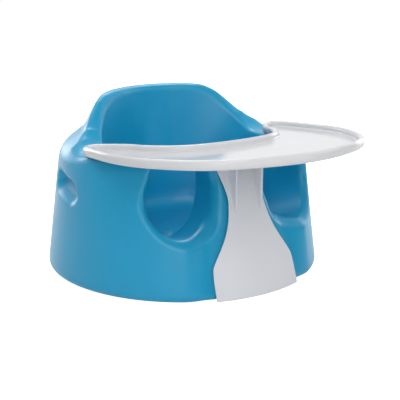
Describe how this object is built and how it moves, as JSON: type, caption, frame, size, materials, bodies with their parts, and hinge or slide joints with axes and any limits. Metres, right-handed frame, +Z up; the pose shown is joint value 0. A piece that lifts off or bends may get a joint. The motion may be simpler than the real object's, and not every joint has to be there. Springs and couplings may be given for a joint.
{
  "type": "baby floor seat",
  "caption": "Round moulded foam floor seat for a baby, with a raised back, leg openings beside a pommel, and a pull-off play tray whose stem hooks under the foot.",
  "frame": {"origin": "centre of the seat's round foot, on the floor", "axes": "+Z up, the baby faces -Y, +X towards the baby's left"},
  "size_m": [0.378, 0.469, 0.235],
  "materials": {
    "seat_foam": "satin",
    "tray_plastic": "gloss",
    "stem_plastic": "satin",
    "screw_steel": "satin"
  },
  "bodies": {
    "seat": {"seat_body": "seat_foam"},
    "tray": {"tray": "tray_plastic", "tray_stem": "stem_plastic", "tray_screws": "screw_steel"}
  },
  "joints": [
    {"name": "tray_slide", "type": "slide", "parent": "seat", "child": "tray", "axis": [0, -0.9967, 0.0811], "range_m": [0, 0.24]}
  ]
}
